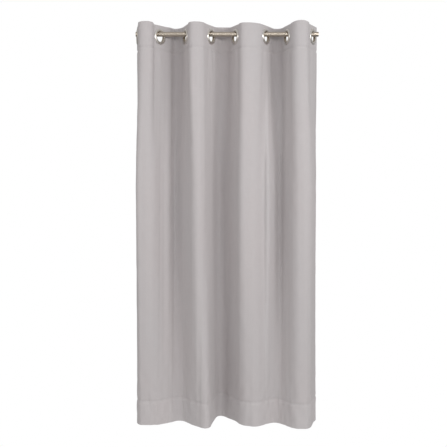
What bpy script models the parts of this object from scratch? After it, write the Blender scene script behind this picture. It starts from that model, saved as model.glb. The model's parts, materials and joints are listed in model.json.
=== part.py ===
"""A grommet-top curtain panel hanging in soft folds on a round metal rod.

The rod runs along X with its axis through the origin, the room is on the -Y side and +Z is up.
One length of cloth hangs from eight two-part rings. Between two rings the cloth turns over in a
rounded fold, by turns towards the room and towards the window, and the panel gathers like an
accordion: every fold closes while its ring slides along the rod. So that it can do that, the cloth
is divided at the crests of its seven folds into eight legs, one at each ring. The first leg turns
about the upright line through its ring, and each later leg about the crest it shares with the one
before. A crest lies half way between two rings, which keeps every ring on the rod as it closes.
"""
import math

import bmesh
import bpy
from mathutils import Matrix, Vector

# The rod, a hollow tube closed by a flush plug at each end (metres, as everywhere below)
ROD_RADIUS = 0.0095
ROD_WALL = 0.0010
ROD_PAST_FIRST_RING = 0.009
ROD_PAST_LAST_RING = 0.024
PLUG_DEPTH = 0.012

# How far each fold is spread, as ring gap over length of cloth, and how steeply each leg crosses the rod
FOLD_SPREADS = (0.494, 0.600, 0.574, 0.563, 0.692, 0.496, 0.577)
LEG_SLOPES_DEG = (80, 51, 70, 61, 64, 59, 72, 62)

# The rings, which snap together through the cloth
RING_BORE_RADIUS = 0.0205
RING_OUTER_RADIUS = 0.0310
BARREL_WALL = 0.0010
FRONT_DOME = 0.0028
BACK_DOME = 0.0020

# The cloth, as it is cut and sewn
CLOTH_THICKNESS = 0.0008
STIFFENER_THICKNESS = 0.0005
DROP = 1.600
TOP_ABOVE_RING = 0.045
HEADER_DEPTH = 0.100
HEM_DEPTH = 0.100
RING_PITCH = 0.174
SIDE_MARGIN = 0.052
STITCH_INSET = 0.004
THREAD_RADIUS = 0.0004

# Clearances
TOUCH_GAP = 0.0003
HANG_CLEARANCE = 0.0010
SLEEVE_CLEARANCE = 0.0004
RIM_MARGIN = 0.0010
CREST_GAP = 0.0020
STIFFENER_INSET = 0.0020

# Fineness of the round shapes
RING_STEPS = 20
ROD_STEPS = 24
FOLD_STEPS = 4
TURN_STEPS = 3
SOLVER_STEPS = 40

RINGS = len(LEG_SLOPES_DEG)
RING_GAPS = [RING_PITCH * spread for spread in FOLD_SPREADS]
ROD_LENGTH = ROD_PAST_FIRST_RING + sum(RING_GAPS) + ROD_PAST_LAST_RING
FIRST_RING_X = ROD_PAST_FIRST_RING - ROD_LENGTH / 2
RING_X = [FIRST_RING_X + sum(RING_GAPS[:ring]) for ring in range(RINGS)]
RING_Z = ROD_RADIUS + HANG_CLEARANCE - RING_BORE_RADIUS
TOP_Z = RING_Z + TOP_ABOVE_RING
BOTTOM_Z = TOP_Z - DROP

# The header's layers, measured across the cloth from the middle of the stack
LAYER_SPACING = CLOTH_THICKNESS + STIFFENER_THICKNESS + 2 * TOUCH_GAP
HEM_SPACING = CLOTH_THICKNESS + TOUCH_GAP
FACE_OFFSET = -LAYER_SPACING / 2
STACK_HALF = LAYER_SPACING / 2 + CLOTH_THICKNESS / 2
RING_SEAT = STACK_HALF + TOUCH_GAP
HOLE_RADIUS = RING_BORE_RADIUS + BARREL_WALL + TOUCH_GAP
RING_FLAT = RING_OUTER_RADIUS + RIM_MARGIN

# How far the bore reaches from the middle of the stack, towards the room and towards the window
BORE_FRONT = RING_SEAT + 0.45 * FRONT_DOME
BORE_BACK = RING_SEAT + 0.70 * BACK_DOME


def rod_clearance(slope):
    """Least distance between the rod and the bore's edge when the ring crosses the rod at a slope."""
    reach = max(BORE_FRONT, BORE_BACK)
    least = RING_BORE_RADIUS
    for step in range(1, SOLVER_STEPS):
        height = ROD_RADIUS * (2 * step / SOLVER_STEPS - 1)
        rod_half = math.sqrt(ROD_RADIUS ** 2 - height ** 2)
        bore_half = math.sqrt(RING_BORE_RADIUS ** 2 - (height - RING_Z) ** 2)
        least = min(least, bore_half * math.sin(slope) - reach * math.cos(slope) - rod_half)
    return least


def leg_slope(ring):
    """The leg's slope, made steeper where the ring would otherwise bind on the rod."""
    slope = math.radians(LEG_SLOPES_DEG[ring])
    while rod_clearance(slope) < SLEEVE_CLEARANCE and slope < math.pi / 2:
        slope += math.radians(0.5)
    return slope


def half_leg(width, depth, slope, steps):
    """Points from the edge of the flat at a ring to the crest, at (width, depth) from the ring."""
    start = Vector((math.cos(slope), math.sin(slope))) * RING_FLAT
    crest = Vector((width, depth))
    start_handle = start + Vector((math.cos(slope), math.sin(slope))) * 0.45 * (depth - start.y)
    crest_handle = crest - Vector((0.62 * (width - start.x), 0))
    points = []
    for step in range(steps + 1):
        t = step / steps
        points.append(start * (1 - t) ** 3 + start_handle * 3 * (1 - t) ** 2 * t
                      + crest_handle * 3 * (1 - t) * t ** 2 + crest * t ** 3)
    return points


def arc_length(points):
    return sum((b - a).length for a, b in zip(points, points[1:]))


def fold_depth(gap, slope_before, slope_after):
    """How deep a fold hangs, so that the cloth from ring to ring is as long as the flat pitch."""
    shallow = 0.0
    deep = RING_PITCH / 2
    while deep - shallow > 1e-6:
        depth = (shallow + deep) / 2
        length = 2 * RING_FLAT
        for slope in (slope_before, slope_after):
            length += arc_length(half_leg(gap / 2, depth, slope, SOLVER_STEPS))
        if length < RING_PITCH:
            shallow = depth
        else:
            deep = depth
    return (shallow + deep) / 2


SLOPES = [leg_slope(ring) for ring in range(RINGS)]
DEPTHS = [fold_depth(RING_GAPS[fold], SLOPES[fold], SLOPES[fold + 1]) for fold in range(RINGS - 1)]


def lean(ring):
    """-1 for a leg that comes towards the room from left to right, 1 for one that goes back."""
    return -1 if ring % 2 == 0 else 1


def crest_place(fold):
    """The upright line shared by the two legs of a fold, which is the fold's hinge."""
    side = lean(fold)
    return Vector((RING_X[fold] + RING_GAPS[fold] / 2, side * DEPTHS[fold], 0))


def leg_frames(ring):
    """The leg seen from above, left to right, with its ring at the origin.

    Each point comes with the direction across the cloth there, towards the window.
    """
    slope = SLOPES[ring]
    margin_end = Vector((math.cos(slope), math.sin(slope))) * SIDE_MARGIN
    rim = Vector((math.cos(slope), math.sin(slope))) * RING_FLAT
    before = [rim, margin_end]
    after = [rim, margin_end]
    if ring > 0:
        width = RING_GAPS[ring - 1] / 2 - CREST_GAP / 2
        before = half_leg(width, DEPTHS[ring - 1], slope, FOLD_STEPS)
    if ring < RINGS - 1:
        width = RING_GAPS[ring] / 2 - CREST_GAP / 2
        after = half_leg(width, DEPTHS[ring], slope, FOLD_STEPS)
    path = [-point for point in reversed(before)] + after
    path = [Vector((point.x, lean(ring) * point.y)) for point in path]
    frames = []
    last = len(path) - 1
    for index, point in enumerate(path):
        along_in = (path[index] - path[max(index - 1, 0)]).normalized()
        along_out = (path[min(index + 1, last)] - path[index]).normalized()
        along = (along_in + along_out).normalized()
        stretch = 1.0
        if 0 < index < last:
            stretch = 1 / along.dot(along_out)
        frames.append((point, Vector((-along.y, along.x)) * stretch))
    square = Vector((0, 1))
    if ring > 0:
        frames[0] = (path[0], square)
    if ring < RINGS - 1:
        frames[last] = (path[last], square)
    return frames


def turn_points(low_offset, high_offset, level, side):
    """A half circle of cloth between two layers; side is 1 over the top and -1 under the bottom."""
    middle = (low_offset + high_offset) / 2
    radius = (high_offset - low_offset) / 2
    points = []
    for step in range(TURN_STEPS + 1):
        angle = math.pi * step / TURN_STEPS
        points.append((middle - radius * math.cos(angle), level + side * radius * math.sin(angle)))
    return points


def cloth_profile():
    """The folded cloth from its hem's raw edge, down, up the face, over the top and down again."""
    half = CLOTH_THICKNESS / 2
    hem_offset = FACE_OFFSET + HEM_SPACING
    hem_level = BOTTOM_Z + half + HEM_SPACING / 2
    top_level = TOP_Z - half - LAYER_SPACING / 2
    hem_turn = turn_points(FACE_OFFSET, hem_offset, hem_level, -1)
    top_turn = turn_points(FACE_OFFSET, -FACE_OFFSET, top_level, 1)
    profile = [(hem_offset, BOTTOM_Z + HEM_DEPTH)]
    profile += list(reversed(hem_turn))
    profile.append((FACE_OFFSET, TOP_Z - HEADER_DEPTH))
    profile += top_turn
    profile.append((-FACE_OFFSET, TOP_Z - HEADER_DEPTH))
    return profile


def stiffener_profile():
    top = TOP_Z - CLOTH_THICKNESS - STIFFENER_INSET
    return [(0.0, TOP_Z - HEADER_DEPTH + STIFFENER_INSET), (0.0, top)]


def new_collection(name):
    collection = bpy.data.collections.new(name)
    bpy.context.scene.collection.children.link(collection)
    return collection


def new_material(name, colour, roughness, metallic=0.0):
    material = bpy.data.materials.new(name)
    material.use_nodes = True
    shader = material.node_tree.nodes["Principled BSDF"]
    shader.inputs["Base Color"].default_value = (*colour, 1.0)
    shader.inputs["Roughness"].default_value = roughness
    shader.inputs["Metallic"].default_value = metallic
    return material


def new_object(name, mesh, collection, material=None):
    item = bpy.data.objects.new(name, mesh)
    collection.objects.link(item)
    if material:
        mesh.materials.append(material)
    return item


def hang_from(item, parent):
    """Parents an item that already stands in its place, and leaves it there."""
    bpy.context.view_layer.update()
    place = item.matrix_world.copy()
    item.parent = parent
    item.matrix_parent_inverse = parent.matrix_world.inverted()
    item.matrix_world = place


def sheet(name, frames, profile, thickness, collection, material):
    """A strip of sheet stock that follows a leg seen from above and a profile seen from the side."""
    columns = len(frames) - 1
    rows = len(profile) - 1
    bm = bmesh.new()
    bmesh.ops.create_grid(bm, x_segments=columns, y_segments=rows, size=0.5)
    for vert in bm.verts:
        point, across = frames[round((vert.co.x + 0.5) * columns)]
        offset, level = profile[round((vert.co.y + 0.5) * rows)]
        place = point + across * offset
        vert.co = (place.x, place.y, level)
    mesh = bpy.data.meshes.new(name)
    bm.to_mesh(mesh)
    bm.free()
    strip = new_object(name, mesh, collection, material)
    solidify = strip.modifiers.new("thickness", "SOLIDIFY")
    solidify.thickness = thickness
    solidify.offset = 0.0
    solidify.use_even_offset = True
    solidify.use_quality_normals = True
    return strip


def cut(item, cutter):
    boolean = item.modifiers.new("ring hole", "BOOLEAN")
    boolean.operation = "DIFFERENCE"
    boolean.object = cutter


def turned(name, profile, steps, collection, material):
    """A ring or tube turned about Z from a closed profile that runs down its outer side."""
    bm = bmesh.new()
    verts = [bm.verts.new((radius, 0, level)) for radius, level in profile]
    for a, b in zip(verts, verts[1:] + verts[:1]):
        bm.edges.new((a, b))
    mesh = bpy.data.meshes.new(name)
    bm.to_mesh(mesh)
    bm.free()
    item = new_object(name, mesh, collection, material)
    screw = item.modifiers.new("turned", "SCREW")
    screw.steps = steps
    screw.render_steps = steps
    screw.use_merge_vertices = True
    screw.merge_threshold = 0.00001
    screw.use_smooth_shade = True
    return item


def front_ring_profile():
    """The domed front ring with the barrel that reaches through the cloth, (radius, level) pairs."""
    barrel = RING_BORE_RADIUS + BARREL_WALL
    rim = RING_OUTER_RADIUS
    crown = (RING_BORE_RADIUS + RING_OUTER_RADIUS) / 2
    face = RING_SEAT + FRONT_DOME
    return [(crown - 0.15 * (rim - barrel), face), (crown + 0.20 * (rim - barrel), face - 0.05 * FRONT_DOME),
            (rim - 0.06 * (rim - barrel), RING_SEAT + 0.55 * FRONT_DOME), (rim, RING_SEAT),
            (barrel, RING_SEAT), (barrel, -BORE_BACK), (RING_BORE_RADIUS, -BORE_BACK),
            (RING_BORE_RADIUS, BORE_FRONT)]


def back_ring_profile():
    """The washer that snaps over the barrel behind the cloth."""
    bore = HOLE_RADIUS
    rim = RING_OUTER_RADIUS
    return [(rim, -RING_SEAT), (rim - 0.08 * (rim - bore), -RING_SEAT - 0.6 * BACK_DOME),
            (rim - 0.40 * (rim - bore), -RING_SEAT - BACK_DOME), (bore, -RING_SEAT - BACK_DOME),
            (bore, -RING_SEAT)]


def ring_matrix(ring):
    """Turns a part made about Z so that +Z looks out of the cloth towards the room."""
    slope = SLOPES[ring]
    along = Vector((math.cos(slope), lean(ring) * math.sin(slope), 0))
    outward = Vector((along.y, -along.x, 0))
    up = Vector((0, 0, 1))
    turn = Matrix((along, up, outward)).transposed()
    if turn.determinant() < 0:
        turn = Matrix((-along, up, outward)).transposed()
    return Matrix.Translation((RING_X[ring], 0, RING_Z)) @ turn.to_4x4()


def thread(name, frames, level, collection, material):
    """One row of stitching, lying on the room side of the cloth."""
    offset = FACE_OFFSET - CLOTH_THICKNESS / 2 - TOUCH_GAP - THREAD_RADIUS
    curve = bpy.data.curves.new(name, "CURVE")
    curve.dimensions = "3D"
    curve.bevel_depth = THREAD_RADIUS
    curve.bevel_resolution = 0
    curve.use_fill_caps = True
    spline = curve.splines.new("POLY")
    spline.points.add(len(frames) - 1)
    for target, (point, across) in zip(spline.points, frames):
        place = point + across * offset
        target.co = (place.x, place.y, level, 1.0)
    item = bpy.data.objects.new(name, curve)
    collection.objects.link(item)
    curve.materials.append(material)
    return item


def build_rod(parts, material):
    """The rod and its plugs, turned about Z and laid along X."""
    along_x = Matrix.Rotation(math.pi / 2, 4, "Y")
    half = ROD_LENGTH / 2
    bore = ROD_RADIUS - ROD_WALL
    tube_profile = [(ROD_RADIUS, half), (ROD_RADIUS, -half), (bore, -half), (bore, half)]
    tube = turned("rod_tube", tube_profile, ROD_STEPS, parts, material)
    tube.matrix_world = along_x
    for name, side in (("left_rod_plug", -1), ("right_rod_plug", 1)):
        bm = bmesh.new()
        plug_radius = bore - TOUCH_GAP
        bmesh.ops.create_cone(bm, cap_ends=True, segments=ROD_STEPS, radius1=plug_radius,
                              radius2=plug_radius, depth=PLUG_DEPTH)
        mesh = bpy.data.meshes.new(name)
        bm.to_mesh(mesh)
        bm.free()
        plug = new_object(name, mesh, parts, material)
        plug.matrix_world = Matrix.Translation((side * (half - PLUG_DEPTH / 2), 0, 0)) @ along_x
        hang_from(plug, tube)
    return tube


def build_hole_cutter(ring, cutters):
    bm = bmesh.new()
    bmesh.ops.create_cone(bm, cap_ends=True, segments=RING_STEPS, radius1=HOLE_RADIUS,
                          radius2=HOLE_RADIUS, depth=4 * RING_SEAT)
    mesh = bpy.data.meshes.new("ring_hole_cutter")
    bm.to_mesh(mesh)
    bm.free()
    cutter = new_object(f"ring_hole_cutter_{ring + 1}", mesh, cutters)
    cutter.matrix_world = ring_matrix(ring)
    cutter.hide_render = True
    cutter.display_type = "WIRE"
    return cutter


def build_leg(ring, parts, cutters, materials, parent):
    """One leg of the curtain: its cloth, stiffener, ring halves and stitching, on one empty."""
    number = ring + 1
    hinge = bpy.data.objects.new(f"leg_{number}_hinge", None)
    parts.objects.link(hinge)
    hinge.location = (RING_X[0], 0, 0) if ring == 0 else crest_place(ring - 1)
    hang_from(hinge, parent)
    frames = leg_frames(ring)
    at_ring = Matrix.Translation((RING_X[ring], 0, 0))
    cloth = sheet(f"cloth_{number}", frames, cloth_profile(), CLOTH_THICKNESS, parts, materials["cloth"])
    stiffener = sheet(f"header_stiffener_{number}", frames, stiffener_profile(), STIFFENER_THICKNESS,
                      parts, materials["stiffener"])
    header_stitch = thread(f"header_stitch_{number}", frames, TOP_Z - HEADER_DEPTH + STITCH_INSET,
                           parts, materials["thread"])
    hem_stitch = thread(f"hem_stitch_{number}", frames, BOTTOM_Z + HEM_DEPTH - STITCH_INSET,
                        parts, materials["thread"])
    for item in (cloth, stiffener, header_stitch, hem_stitch):
        item.matrix_world = at_ring
    front = turned(f"front_ring_{number}", front_ring_profile(), RING_STEPS, parts, materials["ring"])
    back = turned(f"back_ring_{number}", back_ring_profile(), RING_STEPS, parts, materials["ring"])
    for item in (front, back):
        item.matrix_world = ring_matrix(ring)
    cutter = build_hole_cutter(ring, cutters)
    cut(cloth, cutter)
    cut(stiffener, cutter)
    for item in (cloth, stiffener, header_stitch, hem_stitch, front, back, cutter):
        hang_from(item, hinge)
    return hinge


def main():
    for item in list(bpy.data.objects):
        bpy.data.objects.remove(item, do_unlink=True)
    parts = new_collection("curtain_panel")
    cutters = new_collection("cutters")
    materials = {
        "cloth": new_material("greige_cloth", (0.52, 0.48, 0.47), 0.9),
        "stiffener": new_material("buckram", (0.82, 0.81, 0.78), 0.8),
        "thread": new_material("matching_thread", (0.48, 0.44, 0.43), 0.8),
        "ring": new_material("satin_nickel", (0.72, 0.67, 0.60), 0.3, 1.0),
        "rod": new_material("champagne_metal", (0.62, 0.54, 0.46), 0.35, 1.0),
    }
    parent = build_rod(parts, materials["rod"])
    for ring in range(RINGS):
        parent = build_leg(ring, parts, cutters, materials, parent)


main()
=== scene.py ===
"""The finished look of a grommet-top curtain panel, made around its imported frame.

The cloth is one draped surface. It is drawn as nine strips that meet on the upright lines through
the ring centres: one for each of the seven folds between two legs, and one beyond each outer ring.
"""
import json
import math

import bpy
import numpy as np
from bpy.props import FloatProperty, FloatVectorProperty, PointerProperty
from mathutils import Matrix, Vector


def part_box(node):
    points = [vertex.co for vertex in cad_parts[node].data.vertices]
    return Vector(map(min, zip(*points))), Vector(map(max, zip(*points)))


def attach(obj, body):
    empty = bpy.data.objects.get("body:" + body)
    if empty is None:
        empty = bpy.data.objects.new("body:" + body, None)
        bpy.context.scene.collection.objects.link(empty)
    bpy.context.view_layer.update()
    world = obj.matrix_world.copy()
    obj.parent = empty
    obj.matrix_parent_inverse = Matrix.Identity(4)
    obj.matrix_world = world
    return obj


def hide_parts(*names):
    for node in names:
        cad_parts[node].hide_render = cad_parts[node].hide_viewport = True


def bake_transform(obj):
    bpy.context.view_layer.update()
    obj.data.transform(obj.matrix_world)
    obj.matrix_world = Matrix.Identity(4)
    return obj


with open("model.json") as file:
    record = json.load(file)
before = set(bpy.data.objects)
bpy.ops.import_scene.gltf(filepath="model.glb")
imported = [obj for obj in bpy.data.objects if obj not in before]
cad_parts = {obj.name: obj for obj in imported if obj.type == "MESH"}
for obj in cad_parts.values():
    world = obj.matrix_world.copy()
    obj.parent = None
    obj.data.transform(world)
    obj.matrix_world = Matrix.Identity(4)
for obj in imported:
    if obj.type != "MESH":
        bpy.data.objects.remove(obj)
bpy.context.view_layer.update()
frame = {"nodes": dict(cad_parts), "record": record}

bl_info = {
    "name": "Grommet curtain panel",
    "version": (1, 0, 0),
    "blender": (4, 5, 0),
    "location": "View3D > Sidebar > Curtain",
    "description": "Drapes, sews and finishes a grommet-top curtain panel on its rod",
    "category": "Object",
}

MM = 0.001
LEGS = 8
FOLDS = LEGS - 1

# The cut of the cloth: from ring to ring, from the outer rings to the side edges, and its turnings
RING_PITCH = 0.174
SIDE_MARGIN = 0.052
HEADER_DEPTH = 0.100
HEM_DEPTH = 0.100

# Sizes across the cloth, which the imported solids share
CLOTH_THICKNESS = 0.0008
STIFFENER_THICKNESS = 0.0005
LAYER_SPACING = 0.0019
HEM_SPACING = 0.0011
FACE_OFFSET = -LAYER_SPACING / 2
RING_SEAT = 0.00165
RIM_MARGIN = 0.001

# Where the drape leaves the stiff header, and where it has the shape of its middle line
HEADER_END = -0.060
MIDDLE_LEVEL = -0.640

# How much each crest's top edge stands up, in mm
HEADER_LIFTS = (3.2, 0, 2, 5, 0, 0, 7)

# The drape seen from above, left to right, in mm from the rod's middle; the room is at negative y.
# In the header each fold is given between the flats at two rings, and the right edge beyond its ring.
HEADER_FOLDS = (
    ((-348, -48), (-344, -60), (-333, -68), (-317, -70), (-302, -67), (-293, -58), (-290, -43)),
    ((-238, 34), (-228, 44), (-221, 57), (-211, 64), (-200, 61), (-190, 53), (-181, 42)),
    ((-151.5, -46), (-148, -58), (-140, -66), (-126, -68), (-109, -66), (-94, -56), (-86, -41)),
    ((-41, 43), (-31, 55), (-17, 61), (-2, 60), (9, 50), (15, 39)),
    ((49.5, -42), (56, -54), (68, -59), (84, -59), (101, -54), (117, -46), (129, -37)),
    ((177, 41), (184, 55), (195, 64), (209, 65), (220, 56), (226.5, 43)),
    ((253, -44), (260, -58), (272, -68), (287, -71), (302, -70), (314, -61), (321, -46)),
)
HEADER_RIGHT_EDGE = ((359.5, 37), (361.5, 48))
MIDDLE_DRAPE = (
    (-361, 58), (-361, 30), (-360.5, 4), (-360, -24), (-359.5, -48), (-357, -61), (-349, -66),
    (-333, -67), (-318, -67), (-303, -64), (-290, -56), (-279, -42), (-269, -25), (-258, -9), (-247, 1),
    (-237, 9), (-229, 23), (-222, 39), (-214, 48), (-203, 45), (-187, 27), (-169, -1), (-152, -34),
    (-141, -57), (-131, -68), (-117, -73), (-102, -68), (-88, -52), (-76, -26), (-65, 4), (-54, 38),
    (-42, 61), (-28, 68), (-12, 59), (6, 38), (24, 8), (37, -24), (46, -50), (58, -61), (78, -63),
    (100, -60), (119, -52), (133, -41), (141, -36), (149, -36), (158, -43), (165, -42), (172, -34),
    (180, -22), (189, -5), (198, 14), (208, 28), (219, 27), (230, 9), (241, -15), (252, -41), (263, -61),
    (275, -71), (290, -75), (310, -75), (327, -65), (340, -45), (350, -18), (356, 10), (359, 36),
    (359, 56),
)
HEM_DRAPE = (
    (-365, 62), (-365, 36), (-364, 10), (-362, -14), (-354, -28), (-338, -34), (-314, -35), (-290, -32),
    (-268, -25), (-249, -14), (-231, -1), (-213, 13), (-196, 20), (-181, 18), (-169, 7), (-158, -8),
    (-148, -22), (-136, -35), (-122, -49), (-109, -61), (-97, -73), (-87, -77), (-77, -73), (-70, -60),
    (-65, -36), (-60, -8), (-55, 26), (-48, 58), (-38, 77), (-24, 83), (-8, 73), (10, 48), (27, 27),
    (41, 3), (53, -22), (70, -41), (88, -49), (107, -53), (123, -50), (140, -39), (157, -23), (175, -9),
    (194, -5), (211, -12), (228, -30), (245, -52), (260, -69), (278, -80), (298, -82), (317, -80),
    (330, -64), (339, -36), (349, -4), (359, 26), (364, 50),
)

# Straight cloth that a header fold's curve starts and ends on, and how much longer than the side margin
# the cloth beyond the outer rings may drape
LEAD_IN = 0.012
EDGE_SLACK = 1.06

# The cloth's small movements: fine ripples, crumples, creases hanging from the rings, and puckered seams
RIPPLE_SIZE = 0.00016
RIPPLE_RUN = 0.16
CRUMPLE_SIZE = 0.00010
HEM_CRUMPLE_SIZE = 0.00024
HEM_CRUMPLE_REACH = 0.11
CREASE_SIZE = 0.0019
CREASE_START = 0.022
CREASE_FADE = 0.17
CREASE_WIDTH = 0.0065
CREASE_WIDENING = 0.045
CREASE_SPREAD = 0.015
CREASE_SPREADING = 0.075
HEADER_PULL = 0.0024
HEM_PULL = 0.0027
PULL_REACH = 0.0040
PUCKER_SIZE = 0.00042
PUCKER_REACH = 0.011
SHORT_PUCKER = 0.0137
LONG_PUCKER = 0.0219
HEM_STAND = 0.0006
HEM_WAVE = 0.0007
HEM_WAVE_LENGTH = 0.083
CREST_REACH = 0.056

# Fineness: points between two points of a line, columns across the cloth, and rows up and down it
SPAN_POINTS = 24
FOLD_COLUMNS = 34
END_COLUMNS = 11
TURN_ROWS = 4
HEADER_ROWS = 30
BODY_ROWS = 120
HEM_ROWS = 24
FACING_ROWS = 22
HEM_BACK_ROWS = 12
BAND_ROWS = 24
SIDE_HEM_ROWS = 150
SIDE_HEM_COLUMNS = 8
SEAM_ROOM = 0.012

# Sewing
STITCH_PITCH = 0.0034
STITCH_LENGTH = 0.0027
STITCH_RADIUS = 0.00035
STITCH_SIDES = 5
STITCH_INSET = 0.003
SIDE_HEM_WIDTH = 0.024
BAND_LOW_GAP = 0.002
BAND_TOP_GAP = 0.0028

# The rings and the rod
RING_STEPS = 96
ROD_STEPS = 96
TUBE_WALL = 0.001
FIT_GAP = 0.0003
RING_SOFTENING = 0.0002
RING_SHADOW_GAP = 0.0001
BARREL_REACH = 0.7
BARREL_SOFTENING = 0.0003
LIP_DEPTH = 0.0006
ROD_SOFTENING = 0.0004
SHARP_ANGLE = math.radians(50)

# The stage: each lamp's size and spread, the height that it is aimed at and the angle that it comes down
# at, and how the camera dips and shifts
LAMP_WIDTH = 2.4
LAMP_HEIGHT = 0.5
LAMP_SPREAD = math.radians(96)
LAMP_AIM = -0.30
LAMP_RISE = math.radians(6)
CAMERA_DIP = math.radians(2.2)
CAMERA_SHIFT = (-0.0081, -0.0290)
FLOOR_COLOUR = (0.86, 0.86, 0.85, 1.0)

FULL_TURN = 2 * math.pi
UP = (0, 0, 1)


def ease(value):
    """Smooth step from 0 to 1, held outside that range."""
    t = np.clip(value, 0.0, 1.0)
    return t * t * (3 - 2 * t)


# ---------------------------------------------------------------- what the frame says

def ring_places():
    """Each ring's centre, the direction along its cloth from left to right, and towards the room."""
    rooms = {item["name"]: item["box_m"] for item in frame["record"]["physics"]["openings"]}
    places = []
    for number in range(1, LEGS + 1):
        low, high = rooms[f"ring_{number}_opening"]
        centre = Vector(((low[0] + high[0]) / 2, 0, middle_level(f"front_ring_{number}")))
        points = np.array([vert.co for vert in frame["nodes"][f"back_ring_{number}"].data.vertices])
        axis = np.linalg.svd(points - points.mean(0))[2][2]
        room = Vector((axis[0], axis[1], 0)).normalized()
        if room.y > 0:
            room = -room
        places.append((centre, Vector((-room.y, room.x, 0)), room))
    return places


def middle_level(name):
    """The height of the middle of a solid."""
    low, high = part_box(name)
    return (low.z + high.z) / 2


RINGS = ring_places()
RING_X = [centre.x for centre, _, _ in RINGS]
RING_Z = RINGS[0][0].z
RING_OUTER = (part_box("front_ring_1")[1].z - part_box("front_ring_1")[0].z) / 2
RING_FLAT = RING_OUTER + RIM_MARGIN
TOP_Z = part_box("cloth_1")[1].z
BOTTOM_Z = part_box("cloth_1")[0].z
HEADER_STITCH_Z = middle_level("header_stitch_1")
HEM_STITCH_Z = middle_level("hem_stitch_1")
ROD_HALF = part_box("rod_tube")[1].x
ROD_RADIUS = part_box("rod_tube")[1].z


# ---------------------------------------------------------------- the drape

def unit(vector):
    """The vector at length 1."""
    return vector / np.linalg.norm(vector)


def lengths_along(line):
    """The length from a line's start to each of its points."""
    return np.concatenate([[0], np.cumsum(np.linalg.norm(np.diff(line, axis=0), axis=1))])


def point_along(line, lengths, place):
    """The point a given length along a line."""
    return np.array([np.interp(place, lengths, axis) for axis in line.T])


def smooth_line(points):
    """A centripetal Catmull-Rom curve through points given in mm."""
    points = np.array(points, float) * MM
    ends = np.vstack([2 * points[0] - points[1], points, 2 * points[-1] - points[-2]])
    knots = np.concatenate([[0], np.cumsum(np.linalg.norm(np.diff(ends, axis=0), axis=1) ** 0.5)])
    line = []
    for i in range(1, len(ends) - 2):
        t = np.linspace(knots[i], knots[i + 1], SPAN_POINTS, endpoint=False)[:, None]
        blended = ends[i - 1:i + 3]
        for spans in (((-1, 0), (0, 1), (1, 2)), ((-1, 1), (0, 2)), ((0, 1),)):
            spans = [(knots[i + a], knots[i + b]) for a, b in spans]
            blended = [(b - t) / (b - a) * p + (t - a) / (b - a) * q
                       for (a, b), p, q in zip(spans, blended, blended[1:])]
        line += blended
    line.append(points[-1][None])
    return np.vstack(line)


def header_segments():
    """The header seen from above, cut at the ring centres into nine pieces."""
    centres = [np.array(centre[:2]) for centre, _, _ in RINGS]
    alongs = [np.array(along[:2]) for _, along, _ in RINGS]
    segments = [np.array([centres[0] - alongs[0] * SIDE_MARGIN, centres[0]])]
    for fold, places in enumerate(HEADER_FOLDS):
        left = centres[fold] + alongs[fold] * RING_FLAT
        right = centres[fold + 1] - alongs[fold + 1] * RING_FLAT
        before = left - alongs[fold] * LEAD_IN
        after = right + alongs[fold + 1] * LEAD_IN
        way = np.vstack([before, left, np.array(places) * MM, right, after])
        curve = smooth_line(way / MM)[SPAN_POINTS:-SPAN_POINTS]
        segments.append(np.vstack([centres[fold], curve, centres[fold + 1]]))
    edge = centres[-1] + alongs[-1] * RING_FLAT
    way = np.vstack([edge - alongs[-1] * LEAD_IN, edge, np.array(HEADER_RIGHT_EDGE) * MM])
    segments.append(np.vstack([centres[-1], smooth_line(way / MM)[SPAN_POINTS:]]))
    return segments


def cut_at_rings(line):
    """The line in nine pieces: at the side margins' widths, and level with each ring between."""
    lengths = lengths_along(line)
    margin = EDGE_SLACK * SIDE_MARGIN
    cuts = [0, int(np.argmax(lengths > margin))]
    cuts += [int(np.argmax(line[:, 0] > x)) for x in RING_X[1:-1]]
    cuts += [int(np.argmax(lengths > lengths[-1] - margin)), len(line) - 1]
    segments = []
    for piece, (a, b) in enumerate(zip(cuts, cuts[1:])):
        segment = line[a:b + 1].copy()
        if 1 <= piece < FOLDS:
            segment[-1, 0] = RING_X[piece]
        if 1 < piece <= FOLDS:
            segment[0, 0] = RING_X[piece - 1]
        segments.append(segment)
    return segments


def resample(segment, count):
    """The segment with evenly spaced points, one more than the count."""
    lengths = lengths_along(segment)
    wanted = np.linspace(0, lengths[-1], count + 1)
    return np.column_stack([np.interp(wanted, lengths, axis) for axis in segment.T])


STRIP_COLUMNS = [END_COLUMNS] + [FOLD_COLUMNS] * FOLDS + [END_COLUMNS]
STRIP_STARTS = [sum(STRIP_COLUMNS[:strip]) for strip in range(len(STRIP_COLUMNS) + 1)]
COLUMNS = STRIP_STARTS[-1] + 1


def whole_line(segments):
    """One line through all nine pieces, with the same number of columns at every height."""
    parts = [resample(segment, count)[:-1] for segment, count in zip(segments, STRIP_COLUMNS)]
    return np.vstack([*parts, segments[-1][-1][None]])


def flat_places():
    """Each column's place across the flat cloth, in metres from its left edge."""
    edges = [0, SIDE_MARGIN] + [SIDE_MARGIN + RING_PITCH * fold for fold in range(1, LEGS)]
    edges.append(edges[-1] + SIDE_MARGIN)
    parts = [np.linspace(a, b, count, endpoint=False)
             for a, b, count in zip(edges, edges[1:], STRIP_COLUMNS)]
    return np.concatenate([*parts, [edges[-1]]])


FLAT_U = flat_places()
FLAT_WIDTH = FLAT_U[-1]
RING_U = [SIDE_MARGIN + RING_PITCH * ring for ring in range(LEGS)]


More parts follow.
